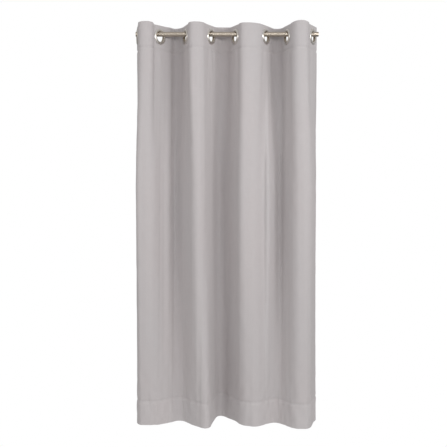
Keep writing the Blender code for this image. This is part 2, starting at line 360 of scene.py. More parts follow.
class Drape:
    """The face cloth's middle surface: three lines seen from above, joined down the cloth, and rippled."""

    def __init__(self):
        self.header = whole_line(header_segments())
        self.middle = whole_line(cut_at_rings(smooth_line(MIDDLE_DRAPE)))
        self.hem = whole_line(cut_at_rings(smooth_line(HEM_DRAPE)))
        draws = np.random.default_rng(11)
        self.ripples = [(draws.uniform(14, 60), draws.uniform(-3.5, 3.5), draws.uniform(0, 6.28),
                         draws.uniform(0.5, 1.0)) for _ in range(14)]
        self.pucker_phases = draws.uniform(0, 6.28, 6)
        self.crumples = [(draws.uniform(0.045, 0.110), draws.uniform(0.07, 0.20) * draws.choice((-1, 1)),
                          draws.uniform(0, 6.28)) for _ in range(9)]

    def line(self, z):
        """The cloth seen from above at one height."""
        if z > MIDDLE_LEVEL:
            share = ease((HEADER_END - z) / (HEADER_END - MIDDLE_LEVEL))
            return self.header * (1 - share) + self.middle * share
        t = (MIDDLE_LEVEL - z) / (MIDDLE_LEVEL - BOTTOM_Z)
        share = t * t * (2 - t)
        return self.middle * (1 - share) + self.hem * share

    def free_ripples(self, z):
        """Fine upright ripples and slanting crumples, which grow below the header."""
        below = ease((RING_Z - RING_FLAT - 0.004 - z) / RIPPLE_RUN)
        fine = np.zeros(COLUMNS)
        for waves, slant, phase, size in self.ripples:
            fine += size * np.sin(waves * FLAT_U * FULL_TURN / FLAT_WIDTH + slant * z * 2.0 + phase)
        near_hem = math.exp(-((z - HEM_STITCH_Z) / HEM_CRUMPLE_REACH) ** 2)
        crumple = np.zeros(COLUMNS)
        for across, down, phase in self.crumples:
            crumple += np.sin(FULL_TURN * (FLAT_U / across + z / down) + phase)
        return (RIPPLE_SIZE * fine + (CRUMPLE_SIZE + HEM_CRUMPLE_SIZE * near_hem) * crumple) * below

    def ring_creases(self, z):
        """Two soft creases that hang from each ring, with a hollow between, and spread on the way down."""
        move = np.zeros(COLUMNS)
        depth = RING_Z - RING_FLAT - 0.002 - z
        if depth <= 0:
            return move
        size = CREASE_SIZE * math.exp(-depth / CREASE_FADE) * (1 - math.exp(-depth / CREASE_START))
        width = CREASE_WIDTH + CREASE_WIDENING * depth
        spread = CREASE_SPREAD + CREASE_SPREADING * depth
        for ring, u in enumerate(RING_U):
            for side in (-1, 1):
                reach = (FLAT_U - u - side * spread) / width
                move += size * np.exp(-reach ** 2) * (1.0 if (ring + side) % 3 else 0.6)
            move -= 0.8 * size * np.exp(-((FLAT_U - u) / (width * 1.1)) ** 2)
        return move

    def seam_puckers(self, z):
        """Each row of stitches pulls the cloth in, and puckers it except on the flats at the rings."""
        move = np.zeros(COLUMNS)
        free = ease((self.ring_distance() - 0.004) / 0.02)
        seams = ((HEADER_STITCH_Z, 0, 2, HEADER_PULL), (HEM_STITCH_Z, 3, 5, HEM_PULL))
        for level, first, second, pull in seams:
            off = abs(z - level)
            pucker = np.sin(FLAT_U * FULL_TURN / SHORT_PUCKER + self.pucker_phases[first])
            pucker += np.sin(FLAT_U * FULL_TURN / LONG_PUCKER + self.pucker_phases[second])
            move += pull * math.exp(-(off / PULL_REACH) ** 2)
            move += PUCKER_SIZE * pucker * math.exp(-off / PUCKER_REACH) * free
        return move

    def hem_body(self, z):
        """The doubled hem stands out towards the room and waves a little more towards its edge."""
        stand = HEM_STAND * float(ease((HEM_STITCH_Z - z) / 0.006))
        share = ease((BOTTOM_Z + HEM_DEPTH - z) / HEM_DEPTH)
        return HEM_WAVE * share * np.sin(FLAT_U * FULL_TURN / HEM_WAVE_LENGTH + 1.3) - stand

    def ripple(self, z):
        """All small movements of the cloth towards the window, column by column, at one height."""
        move = self.free_ripples(z) + self.ring_creases(z) + self.seam_puckers(z)
        if z < BOTTOM_Z + HEM_DEPTH:
            move += self.hem_body(z)
        return move

    def ring_distance(self):
        """Each column's distance across the cloth to the edge of the nearest ring's flat."""
        nearest = np.min([np.abs(FLAT_U - u) for u in RING_U], axis=0)
        return np.maximum(nearest - RING_FLAT, 0)

    def lift(self, z):
        """How far the cloth stands up, where the header's top edge rises at a crest."""
        share = float(ease((z - RING_Z) / (TOP_Z - RING_Z)))
        total = np.zeros(COLUMNS)
        for fold, rise in enumerate(HEADER_LIFTS):
            u = RING_U[fold] + RING_PITCH / 2
            total += rise * MM * ease(1 - np.abs(FLAT_U - u) / CREST_REACH)
        return total * share

    def row(self, z, offset):
        """One row of points at a height, a set distance to the window side of the face cloth."""
        line = self.line(z)
        along = np.gradient(line, axis=0)
        along /= np.linalg.norm(along, axis=1)[:, None]
        across = np.column_stack([-along[:, 1], along[:, 0]])
        place = line + across * (offset + self.ripple(z))[:, None]
        return np.column_stack([place, z + self.lift(z)])


def surface_normals(grid):
    """Unit normals of a grid of points, from rows (axis 0) and columns (axis 1)."""
    up = np.gradient(grid, axis=0)
    right = np.gradient(grid, axis=1)
    normals = np.cross(right, up)
    return normals / np.maximum(np.linalg.norm(normals, axis=2), 1e-12)[:, :, None]


def turn_rows(low_offset, high_offset, level, side):
    """Rows round a half circle of cloth, from the low offset to the high one."""
    middle = (low_offset + high_offset) / 2
    radius = (high_offset - low_offset) / 2
    rows = []
    for step in range(1, TURN_ROWS):
        angle = math.pi * step / TURN_ROWS
        rows.append((middle - radius * math.cos(angle), level + side * radius * math.sin(angle)))
    return rows


def cloth_rows():
    """Offset and height of each row of the folded cloth, from the hem's raw edge to the header's."""
    half = CLOTH_THICKNESS / 2
    face = FACE_OFFSET
    hem_back = face + HEM_SPACING
    hem_level = BOTTOM_Z + half + HEM_SPACING / 2
    top_level = TOP_Z - half - LAYER_SPACING / 2
    body_top = HEADER_STITCH_Z - SEAM_ROOM
    body_low = HEM_STITCH_Z + SEAM_ROOM
    rows = [(hem_back, z) for z in np.linspace(BOTTOM_Z + HEM_DEPTH, hem_level, HEM_BACK_ROWS)]
    rows += list(reversed(turn_rows(face, hem_back, hem_level, -1)))
    rows += [(face, z) for z in np.linspace(hem_level, body_low, HEM_ROWS)]
    rows += [(face, z) for z in np.linspace(body_low, body_top, BODY_ROWS)[1:]]
    rows += [(face, z) for z in np.linspace(body_top, top_level, HEADER_ROWS)[1:]]
    rows += turn_rows(face, -face, top_level, 1)
    rows += [(-face, z) for z in np.linspace(top_level, TOP_Z - HEADER_DEPTH, FACING_ROWS)]
    return rows


# ---------------------------------------------------------------- meshes

def new_mesh(name, points, faces):
    """A mesh of points and faces."""
    mesh = bpy.data.meshes.new(name)
    mesh.from_pydata(points, [], faces)
    mesh.update()
    return mesh


def shell_mesh(name, points, normals, kept, thickness, weave):
    """A closed sheet: a grid of points thickened along its normals, with only the kept cells."""
    rows, columns = points.shape[:2]
    index = np.arange(rows * columns).reshape(rows, columns)
    flat_points = points.reshape(-1, 3)
    flat_normals = normals.reshape(-1, 3)
    cells = [(index[r, c], index[r, c + 1], index[r + 1, c + 1], index[r + 1, c])
             for r in range(rows - 1) for c in range(columns - 1) if kept[r, c]]
    edges = [pair for cell in cells for pair in zip(cell, cell[1:] + cell[:1])]
    inner = set(edges)
    used = sorted({vert for cell in cells for vert in cell})
    renumber = {vert: place for place, vert in enumerate(used)}
    count = len(used)
    front = flat_points[used] + flat_normals[used] * thickness / 2
    back = flat_points[used] - flat_normals[used] * thickness / 2
    faces = [tuple(renumber[v] for v in cell) for cell in cells]
    faces += [tuple(renumber[v] + count for v in reversed(cell)) for cell in cells]
    rims = [(renumber[b], renumber[a], renumber[a] + count, renumber[b] + count)
            for a, b in edges if (b, a) not in inner]
    mesh = new_mesh(name, np.vstack([front, back]).tolist(), faces + rims)
    mesh.shade_smooth()
    both_normals = np.vstack([flat_normals[used], -flat_normals[used]])
    loop_normals = [both_normals[v] for face in faces for v in face]
    for face in mesh.polygons[len(faces):]:
        loop_normals += [np.array(face.normal)] * 4
    mesh.normals_split_custom_set([tuple(normal) for normal in loop_normals])
    place = mesh.attributes.new("weave", "FLOAT_VECTOR", "POINT")
    flat_weave = weave.reshape(-1, 3)[used]
    place.data.foreach_set("vector", np.vstack([flat_weave, flat_weave]).astype(np.float32).ravel())
    mesh.update()
    return mesh


def add_object(name, data, *materials):
    """Links a mesh with its materials, a lamp or a camera to the scene as an object."""
    item = bpy.data.objects.new(name, data)
    bpy.context.scene.collection.objects.link(item)
    for material in materials:
        data.materials.append(material)
    return item


def add_metal(name, mesh, place, body, replaced, slot, *materials):
    """Adds a turned metal piece at its place, smooth but for its sharp edges, on its body."""
    item = add_object(name, mesh, *materials)
    item.matrix_world = place
    mesh.shade_smooth()
    mesh.set_sharp_from_angle(angle=SHARP_ANGLE)
    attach(item, body)
    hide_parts(replaced)


def bend_or_ride(item, strip):
    """Strips between two rings are baked in place, and the end strips ride on a leg."""
    if strip == 0:
        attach(item, "leg_1")
    elif strip == LEGS:
        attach(item, f"leg_{LEGS}")
    else:
        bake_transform(item)


CELL_CORNERS = [(down, across) for down in (slice(None, -1), slice(1, None))
                for across in (slice(None, -1), slice(1, None))]


def punch_rings(points, hole_radius):
    """Opens a round hole at each ring: its cells are left out and its edge is made round."""
    rows, columns = points.shape[:2]
    kept = np.ones((rows - 1, columns - 1), bool)
    for centre, _, _ in RINGS:
        away = points - np.array(centre)
        distance = np.linalg.norm(away, axis=2)
        inside = distance < hole_radius
        hit = np.any([inside[corner] for corner in CELL_CORNERS], axis=0)
        kept &= ~hit
        rim = np.zeros((rows, columns), bool)
        for corner in CELL_CORNERS:
            rim[corner] |= hit
        rim &= ~inside
        shrink = hole_radius / distance[rim]
        points[rim] = np.array(centre) + away[rim] * shrink[:, None]
    return kept


def turned_mesh(name, profile, steps):
    """A ring turned about Z from a closed profile of (radius, height) pairs, both in metres."""
    count = len(profile)
    angles = np.linspace(0, FULL_TURN, steps, endpoint=False)
    points = [(radius * math.cos(a), radius * math.sin(a), height)
              for a in angles for radius, height in profile]
    faces = []
    for step in range(steps):
        after = (step + 1) % steps
        for i in range(count):
            j = (i + 1) % count
            faces.append((step * count + i, step * count + j, after * count + j, after * count + i))
    return new_mesh(name, points, faces)


def turned_solid(outline, steps):
    """Points and faces of a solid turned about Z, from an outline down from and back to the axis."""
    count = len(outline) - 2
    points = [(0, 0, outline[0][1])]
    for step in range(steps):
        angle = FULL_TURN * step / steps
        points += [(radius * math.cos(angle), radius * math.sin(angle), height)
                   for radius, height in outline[1:-1]]
    points.append((0, 0, outline[-1][1]))
    last = len(points) - 1
    faces = []
    for step in range(steps):
        a = 1 + step * count
        b = 1 + (step + 1) % steps * count
        faces.append((0, a, b))
        faces += [(a + i, a + i + 1, b + i + 1, b + i) for i in range(count - 1)]
        faces.append((a + count - 1, last, b + count - 1))
    return points, faces


# ---------------------------------------------------------------- materials

def new_material(name):
    """A material with its node tree and its shader."""
    material = bpy.data.materials.new(name)
    material.use_nodes = True
    tree = material.node_tree
    return material, tree, tree.nodes["Principled BSDF"]


def feed(tree, target, inputs):
    """Gives a node its inputs by name or number: a socket is linked, and any other value is set."""
    for key, value in inputs.items():
        if isinstance(value, bpy.types.NodeSocket):
            tree.links.new(value, target.inputs[key])
        else:
            target.inputs[key].default_value = value


def node(tree, kind, inputs={}, **values):
    """A new node with its settings and inputs."""
    made = tree.nodes.new(kind)
    for key, value in values.items():
        setattr(made, key, value)
    feed(tree, made, inputs)
    return made


def maths(tree, operation, *values):
    """A Math node's result; each value is a number or a socket."""
    return node(tree, "ShaderNodeMath", dict(enumerate(values)), operation=operation).outputs[0]


def ranged(tree, value, low, high, bottom=0.0, top=1.0):
    """A socket's value, brought from between low and high to between bottom and top."""
    return node(tree, "ShaderNodeMapRange", {"Value": value, "From Min": low, "From Max": high,
                                             "To Min": bottom, "To Max": top}).outputs["Result"]


def scaled_noise(tree, vector, stretch, scale, detail=2.0, roughness=0.5):
    """Noise over a place, finer where the stretch is larger."""
    place = node(tree, "ShaderNodeMapping", {"Vector": vector, "Scale": stretch}).outputs["Vector"]
    return node(tree, "ShaderNodeTexNoise", {"Vector": place, "Scale": scale, "Detail": detail,
                                             "Roughness": roughness}).outputs["Fac"]


def colour_mix(tree, factor, a, b):
    """A mix of two colours by a socket; each colour is a tuple or a socket."""
    a, b = ((*colour, 1.0) if isinstance(colour, tuple) else colour for colour in (a, b))
    return node(tree, "ShaderNodeMix", {"Factor": factor, 6: a, 7: b}, data_type="RGBA").outputs[2]


def add_bump(tree, shader, height, strength, distance):
    """Gives the shader a fine relief from a height socket."""
    bump = node(tree, "ShaderNodeBump", {"Height": height, "Strength": strength, "Distance": distance})
    tree.links.new(bump.outputs["Normal"], shader.inputs["Normal"])


def flat_cloth_place(tree):
    """The place on the flat cloth as a vector, and its parts: across, down, and layers sewn behind."""
    place = node(tree, "ShaderNodeAttribute", attribute_name="weave").outputs["Vector"]
    parts = node(tree, "ShaderNodeSeparateXYZ", {"Vector": place}).outputs
    return place, parts["X"], parts["Y"], parts["Z"]


def crossed_threads(tree, across, down, across_turns, down_turns):
    """A height between 0 and 1 over threads that cross."""
    warp = maths(tree, "SINE", maths(tree, "MULTIPLY", across, across_turns))
    weft = maths(tree, "SINE", maths(tree, "MULTIPLY", down, down_turns))
    return maths(tree, "MULTIPLY_ADD", maths(tree, "MULTIPLY", warp, weft), 0.5, 0.5)


def woven_cloth(name, settings):
    """Matt close-woven cloth: crossing yarns with slubs, a soft bloom and slight colour changes."""
    material, tree, shader = new_material(name)
    place, across, down, layers = flat_cloth_place(tree)
    turns = FULL_TURN / settings.yarn_pitch
    yarns = crossed_threads(tree, across, down, turns, turns * 0.92)
    warp_slub = scaled_noise(tree, place, (620, 26, 1), 1.0)
    weft_slub = scaled_noise(tree, place, (22, 560, 1), 1.0)
    slub = maths(tree, "MULTIPLY", maths(tree, "ADD", warp_slub, weft_slub), 0.5)
    clouds = scaled_noise(tree, place, (5.5, 1.6, 1), 1.0, 3.0)
    fuzz = scaled_noise(tree, place, (1, 1, 1), 2400.0, 1.0)
    yarn_colours = colour_mix(tree, ranged(tree, slub, 0.36, 0.66), tuple(settings.yarn_colour),
                              tuple(settings.slub_colour))
    clouded = colour_mix(tree, ranged(tree, clouds, 0.35, 0.70, top=0.55), yarn_colours,
                         tuple(settings.cloud_colour))
    shade = maths(tree, "MULTIPLY_ADD", yarns, 0.10, 0.95)
    # Painted light: cloth with layers sewn behind it is made up to 3.2% lighter.
    shade = maths(tree, "MULTIPLY", shade, maths(tree, "MULTIPLY_ADD", layers, 0.032, 1.0))
    final = node(tree, "ShaderNodeVectorMath", {0: clouded, "Scale": shade}, operation="SCALE")
    feed(tree, shader, {"Base Color": final.outputs["Vector"],
                        "Roughness": maths(tree, "MULTIPLY_ADD", slub, 0.14, 0.80),
                        "Specular IOR Level": 0.25, "Sheen Weight": settings.sheen,
                        "Sheen Roughness": 0.45, "Sheen Tint": (0.93, 0.90, 0.88, 1.0)})
    height = maths(tree, "ADD", maths(tree, "MULTIPLY", yarns, 0.55), maths(tree, "MULTIPLY", slub, 1.2))
    height = maths(tree, "ADD", height, maths(tree, "MULTIPLY", fuzz, 0.25))
    add_bump(tree, shader, height, 0.55, 0.00022)
    return material


def stiff_buckram(name):
    """Coarse stiffening of crossed threads, off-white."""
    material, tree, shader = new_material(name)
    _, across, down, _ = flat_cloth_place(tree)
    over = crossed_threads(tree, across, down, 4200.0, 4200.0)
    colour = colour_mix(tree, over, (0.74, 0.73, 0.69), (0.86, 0.85, 0.82))
    feed(tree, shader, {"Base Color": colour, "Roughness": 0.8})
    add_bump(tree, shader, over, 0.5, 0.0003)
    return material


def sewing_thread(name):
    """Twisted polyester thread, a shade deeper than the cloth: partly its own tone, partly painted shade for
    the seam's shaded line.
    """
    material, tree, shader = new_material(name)
    place = node(tree, "ShaderNodeTexCoord").outputs["Object"]
    noise = scaled_noise(tree, place, (1, 1, 1), 1500.0, 2.0)
    # Partly painted shade: the thread is darkened so that the seam shows as a shaded line.
    colour = colour_mix(tree, noise, (0.36, 0.325, 0.315), (0.50, 0.46, 0.45))
    feed(tree, shader, {"Base Color": colour, "Roughness": 0.6})
    add_bump(tree, shader, noise, 0.4, 0.0001)
    return material


def satin_metal(name, light, dark, roughness, grain, grain_depth):
    """Satin metal with a fine grain and a faint cloudiness."""
    material, tree, shader = new_material(name)
    place = node(tree, "ShaderNodeTexCoord").outputs["Object"]
    brushed = scaled_noise(tree, place, grain, 1.0, 2.0, 0.6)
    clouds = scaled_noise(tree, place, (1, 1, 1), 38.0, 3.0)
    rough = maths(tree, "MULTIPLY_ADD", brushed, 0.16, roughness - 0.08)
    rough = maths(tree, "ADD", rough, maths(tree, "MULTIPLY", clouds, 0.06))
    feed(tree, shader, {"Base Color": colour_mix(tree, clouds, dark, light), "Metallic": 1.0,
                        "Roughness": rough})
    add_bump(tree, shader, brushed, 0.3, grain_depth)
    return material


# ---------------------------------------------------------------- settings

def length_setting(name, description, default, precision=4):
    """A setting in metres."""
    return FloatProperty(name=name, description=description, default=default, subtype="DISTANCE",
                         unit="LENGTH", precision=precision)


def colour_setting(name, description, default):
    """A setting that is a colour."""
    return FloatVectorProperty(name=name, description=description, default=default, subtype="COLOR")


def power_setting(name, description, default):
    """A lamp's setting in watts."""
    return FloatProperty(name=name, description=description, default=default, min=0.0, subtype="POWER",
                         unit="POWER")


class CURTAIN_PG_cloth(bpy.types.PropertyGroup):
    """The cloth's colours and weave, and the holes in its header"""
    yarn_colour: colour_setting("Yarn colour", "Colour of the cloth's yarns", (0.520, 0.483, 0.484))
    slub_colour: colour_setting("Slub colour", "Colour of the thicker, lighter yarns",
                                (0.556, 0.519, 0.520))
    cloud_colour: colour_setting("Cloud colour", "Colour that the cloth drifts towards",
                                 (0.525, 0.506, 0.510))
    yarn_pitch: length_setting("Yarn pitch", "Distance between neighbouring yarns", 0.0011, precision=5)
    sheen: FloatProperty(name="Sheen", description="Strength of the cloth's soft bloom", default=0.18,
                         min=0.0, max=1.0, subtype="FACTOR")
    hole_radius: length_setting("Hole radius", "Radius of the hole that each ring lines", 0.0238)


class CURTAIN_PG_metal(bpy.types.PropertyGroup):
    """The metal's colours and the rings' form"""
    ring_colour: colour_setting("Ring colour", "Colour of the rings' satin nickel", (0.80, 0.765, 0.715))
    # The barrel's dark bronze is painted shade and painted reflection inside the rings' bores.
    barrel_shade_colour: colour_setting("Barrel colour", "Colour inside the rings' barrels", (0.50, 0.42, 0.32))
    rod_colour: colour_setting("Rod colour", "Colour of the rod's champagne finish", (0.555, 0.485, 0.405))
    bore_radius: length_setting("Bore radius", "Inside radius of the rings", 0.0205)
    front_dome: length_setting("Front dome", "Height of the front ring's dome", 0.0042)
    back_dome: length_setting("Back dome", "Height of the back ring's dome", 0.0046)


class CURTAIN_PG_stage(bpy.types.PropertyGroup):
    """The floor, the light and the camera"""
    floor_level: length_setting("Floor level", "Height of the floor from the rod", -2.10)
    floor_size: length_setting("Floor size", "Length of the floor's sides", 2.30)
    room_light: FloatProperty(name="Room light", description="Brightness of the light from all round",
                              default=0.41, min=0.0)
    left_power: power_setting("Left power", "Power of the lamp on the left", 7.7)
    front_power: power_setting("Front power", "Power of the lamp in front", 9.6)
    right_power: power_setting("Right power", "Power of the lamp on the right", 17.8)
    lamp_distance: length_setting("Lamp distance", "From the lamps to the panel", 4.0)
    lens: FloatProperty(name="Lens", description="Focal length on a 36 mm sensor", default=60.1,
                        subtype="DISTANCE_CAMERA", unit="CAMERA")
    distance: length_setting("Distance", "From the camera to the rod", 3.0)
    eye_level: length_setting("Eye level", "Camera's height from the rod", -0.588)


# ---------------------------------------------------------------- pieces

DRAPE = Drape()


def doubling(z, offset):
    """How much a row's cloth is backed by the layers sewn behind it; there painted light makes it a little
    lighter.
    """
    if offset >= 0 and z < RING_Z:
        return 1.0
    in_hem = ease((HEM_STITCH_Z + 0.001 - z) / 0.002)
    in_header = ease((z - HEADER_STITCH_Z + 0.001) / 0.002)
    return float(in_hem + 0.15 * in_header)


def draped_grid(rows):
    """Points, normals and weave places of all strips together, for a list of (offset, height) rows."""
    points = np.array([DRAPE.row(z, offset) for offset, z in rows])
    steps = np.linalg.norm(np.diff(points, axis=0), axis=2).mean(1)
    down = np.concatenate([[0], np.cumsum(steps)])
    weave = np.zeros_like(points)
    weave[:, :, 0] = FLAT_U[None, :]
    weave[:, :, 1] = down[:, None]
    weave[:, :, 2] = np.array([doubling(z, offset) for offset, z in rows])[:, None]
    return points, surface_normals(points), weave


def add_strips(stem, rows, thickness, material, hole_radius, margin=0):
    """Nine pieces of one draped sheet, each on its own leg or fold, short of the sides by a margin."""
    points, normals, weave = draped_grid(rows)
    kept = punch_rings(points, hole_radius)
    made = []
    for strip, (a, b) in enumerate(zip(STRIP_STARTS, STRIP_STARTS[1:])):
        a += margin if strip == 0 else 0
        b -= margin if strip == LEGS else 0
        mesh = shell_mesh(f"{stem}_{strip}", points[:, a:b + 1], normals[:, a:b + 1], kept[:, a:b],
                          thickness, weave[:, a:b + 1])
        item = add_object(f"{stem}_{strip}", mesh, material)
        bend_or_ride(item, strip)
        made.append(item)
    return made


def finish_strips(strips, replaced):
    """Hides the imported solid that each strip of a sheet stands for, all but the last strip."""
    for strip, item in enumerate(strips):
        if strip < LEGS:
            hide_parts(f"{replaced}_{strip + 1}")


class CURTAIN_OT_cloth(bpy.types.Operator):
    """Drape the cloth, with its header turned down and its hem turned up"""
    bl_idname = "curtain.cloth"
    bl_label = "Drape the cloth"

    def execute(self, context):
        settings = context.scene.curtain_cloth
        material = woven_cloth("greige woven cloth", settings)
        strips = add_strips("draped_cloth", cloth_rows(), CLOTH_THICKNESS, material, settings.hole_radius)
        finish_strips(strips, "cloth")
        return {"FINISHED"}


class CURTAIN_OT_stiffening(bpy.types.Operator):
    """Lay the stiffening band inside the header"""
    bl_idname = "curtain.stiffening"
    bl_label = "Stiffen the header"

    def execute(self, context):
        settings = context.scene.curtain_cloth
        material = stiff_buckram("buckram band")
        low = TOP_Z - HEADER_DEPTH + BAND_LOW_GAP
        high = TOP_Z - BAND_TOP_GAP
        rows = [(0.0, z) for z in np.linspace(low, high, BAND_ROWS)]
        strips = add_strips("header_band", rows, STIFFENER_THICKNESS, material, settings.hole_radius,
                            margin=1)
        finish_strips(strips, "header_stiffener")
        return {"FINISHED"}


def stitch_mesh(name, places):
    """All stitches of one row as one mesh; each place is (middle, along, out of the cloth).

    A stitch is a short thread that narrows to a point at both ends.
    """
    outline = [(STITCH_RADIUS * width, STITCH_LENGTH * share)
               for width, share in ((0, 0.5), (0.85, 0.36), (1, 0), (0.85, -0.36), (0, -0.5))]
    template, template_faces = turned_solid(outline, STITCH_SIDES)
    points = []
    faces = []
    for middle, along, out in places:
        side = np.cross(out, along)
        start = len(points)
        points += (np.array(template) @ np.array([side, out, along]) + middle).tolist()
        faces += [tuple(v + start for v in face) for face in template_faces]
    mesh = new_mesh(name, points, faces)
    mesh.shade_smooth()
    return mesh


def level_stitches(strip, level, offsets):
    """Places of a level row of stitches over one strip, on both faces of the layers sewn."""
    a, b = STRIP_STARTS[strip], STRIP_STARTS[strip + 1]
    places = []
    for offset in offsets:
        line = DRAPE.row(level, offset)[a:b + 1]
        lengths = lengths_along(line)
        count = max(2, int(lengths[-1] / STITCH_PITCH))
        for place in (np.arange(count) + 0.5) / count * lengths[-1]:
            middle, before, after = (point_along(line, lengths, p)
                                     for p in (place, place - 0.001, place + 0.001))
            along = unit(after - before)
            room = unit(np.cross(along, UP))
            places.append((middle, along, room if offset < 0 else -room))
    return places


class CURTAIN_OT_stitching(bpy.types.Operator):
    """Sew the header and the bottom hem"""
    bl_idname = "curtain.stitching"
    bl_label = "Sew the header and hem"

    def execute(self, context):
        material = sewing_thread("matching thread")
        face = FACE_OFFSET - CLOTH_THICKNESS / 2
        rows = (("header_stitches", "header_stitch", HEADER_STITCH_Z, (face, -face)),
                ("hem_stitches", "hem_stitch", HEM_STITCH_Z, (face, face + HEM_SPACING + CLOTH_THICKNESS)))
        for stem, replaced, level, offsets in rows:
            for strip in range(LEGS + 1):
                mesh = stitch_mesh(f"{stem}_{strip}", level_stitches(strip, level, offsets))
                item = add_object(f"{stem}_{strip}", mesh, material)
                bend_or_ride(item, strip)
                if strip < LEGS:
                    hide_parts(f"{replaced}_{strip + 1}")
        return {"FINISHED"}


def edge_line(z, side):
    """The face cloth at one height, from the left side edge (0) or from the right one (1)."""
    line = DRAPE.row(z, FACE_OFFSET)
    return line if side == 0 else line[::-1]


def side_hem_row(z, side):
    """One row of a side hem: across its turned-back layer to the cloth's edge, and round that edge."""
    line = edge_line(z, side)
    lengths = lengths_along(line)
    back = (1, -1)[side]
    row = []
    for reach in np.linspace(SIDE_HEM_WIDTH, 0.0012, SIDE_HEM_COLUMNS):
        place = point_along(line, lengths, reach)
        near = point_along(line, lengths, reach + 0.002)
        row.append(place + back * HEM_SPACING * unit(np.cross(UP, near - place)))
    out = back * unit(np.cross(UP, line[1] - line[0]))
    beyond = unit(line[0] - line[1])
    for share in (0.25, 0.5, 0.75, 1.0):
        turn = math.pi * share
        row.append(line[0] + out * HEM_SPACING * (0.5 + 0.5 * math.cos(turn))
                   + beyond * (HEM_SPACING * 0.5 * math.sin(turn) + 0.0004))
    return row


def side_stitch_point(z, side):
    """A point on a side hem's row of stitches."""
    line = edge_line(z, side)
    return point_along(line, lengths_along(line), SIDE_HEM_WIDTH - STITCH_INSET)


def side_stitches(levels, side):
    """Places of the upright row of stitches down a side hem, on the room's face."""
    places = []
    for z in np.arange(levels[0] + 0.003, levels[-1], STITCH_PITCH):
        low, high = (side_stitch_point(level, side) for level in (z - 0.001, z + 0.001))
        line = edge_line(z, side)
        rightwards = (line[2] - line[0]) * (1, -1)[side]
        room = unit(np.cross(rightwards, UP))
        places.append(((low + high) / 2 + room * CLOTH_THICKNESS / 2, unit(high - low), room))
    return places


class CURTAIN_OT_side_hems(bpy.types.Operator):
    """Turn and sew the narrow hems down both side edges"""
    bl_idname = "curtain.side_hems"
    bl_label = "Sew the side hems"

    def execute(self, context):
        cloth = bpy.data.materials["greige woven cloth"]
        thread = bpy.data.materials["matching thread"]
        levels = np.linspace(BOTTOM_Z + HEM_DEPTH + 0.001, TOP_Z - HEADER_DEPTH - 0.001, SIDE_HEM_ROWS)
        for side, (name, body) in enumerate((("left_side_hem", "leg_1"), ("right_side_hem", f"leg_{LEGS}"))):
            points = np.array([side_hem_row(z, side) for z in levels])
            if side == 0:
                points = points[:, ::-1]
            weave = np.zeros_like(points)
            weave[:, :, 0] = np.linspace(0, SIDE_HEM_WIDTH, points.shape[1])[None, :]
            weave[:, :, 1] = levels[:, None]
            kept = np.ones((points.shape[0] - 1, points.shape[1] - 1), bool)
            mesh = shell_mesh(name, points, surface_normals(points), kept, CLOTH_THICKNESS, weave)
            item = add_object(name, mesh, cloth)
            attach(item, body)
            sewn = add_object(f"{name}_stitches",
                              stitch_mesh(f"{name}_stitches", side_stitches(levels, side)), thread)
            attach(sewn, body)
        return {"FINISHED"}


def dome_profile(inner, outer, seat, height, count=14):
    """A low rounded dome over a ring's face, from its outer rim in to its bore."""
    points = []
    for step in range(count + 1):
        t = step / count
        radius = outer + (inner - outer) * t
        swell = math.sin(math.pi * (0.04 + 0.80 * t)) ** 0.55
        points.append((radius, seat + height * swell))
    return points


def ring_turn(ring):
    """Places a part made about Z at a ring, with +Z out of the cloth towards the room."""
    centre, along, room = RINGS[ring]
    up = Vector((0, 0, 1))
    turn = Matrix((up.cross(room), up, room)).transposed()
    return Matrix.Translation(centre) @ turn.to_4x4()


class CURTAIN_OT_rings(bpy.types.Operator):
    """Snap the domed rings and their backs through the header"""
    bl_idname = "curtain.rings"
    bl_label = "Fit the rings"

    def execute(self, context):
        settings = context.scene.curtain_metal
        light = tuple(settings.ring_colour)
        dark = tuple(0.86 * part for part in light)
        metal = satin_metal("satin nickel", light, dark, 0.30, (900, 900, 900), 0.00001)
        # Painted shade and painted reflection: the inside of the bore is given a dark bronze.
        barrel_shade = tuple(settings.barrel_shade_colour)
        barrel = satin_metal("barrel painted shade", barrel_shade, tuple(0.7 * part for part in barrel_shade), 0.34,
                             (300, 300, 2400), 0.00003)
        bore = settings.bore_radius
        barrel_outside = bore + TUBE_WALL
        barrel_end = -RING_SEAT - BARREL_REACH * settings.back_dome
        dome = dome_profile(bore, RING_OUTER, RING_SEAT, settings.front_dome)
        lip = dome[-1][1]
        front = dome + [(bore, lip - LIP_DEPTH), (bore, barrel_end + BARREL_SOFTENING),
                        (bore + BARREL_SOFTENING, barrel_end),
                        (barrel_outside - RING_SOFTENING, barrel_end),
                        (barrel_outside, barrel_end + RING_SOFTENING), (barrel_outside, RING_SEAT),
                        (RING_OUTER - RING_SOFTENING, RING_SEAT - RING_SHADOW_GAP)]
        back_bore = barrel_outside + FIT_GAP
        back = [(radius, -height) for radius, height in
                dome_profile(back_bore, RING_OUTER, RING_SEAT, settings.back_dome)]
        back_seat = -RING_SEAT + RING_SHADOW_GAP
        back = back[::-1] + [(RING_OUTER - RING_SOFTENING, back_seat), (back_bore, back_seat)]
        for ring in range(LEGS):
            number = ring + 1
            for side, profile, materials in (("front", front, (metal, barrel)), ("back", back, (metal,))):
                name = f"ring_{side}_{number}"
                mesh = turned_mesh(name, profile, RING_STEPS)
                add_metal(name, mesh, ring_turn(ring), f"leg_{number}", f"{side}_ring_{number}",
                          "ring_metal", *materials)
                # Faces inside the front ring's bore take the barrel material, with its painted shade and
                # reflection.
                if barrel in materials:
                    for face in mesh.polygons:
                        middle = face.center
                        if math.hypot(middle.x, middle.y) < bore + 0.0004 and middle.z < lip - 0.0004:
                            face.material_index = 1
        return {"FINISHED"}


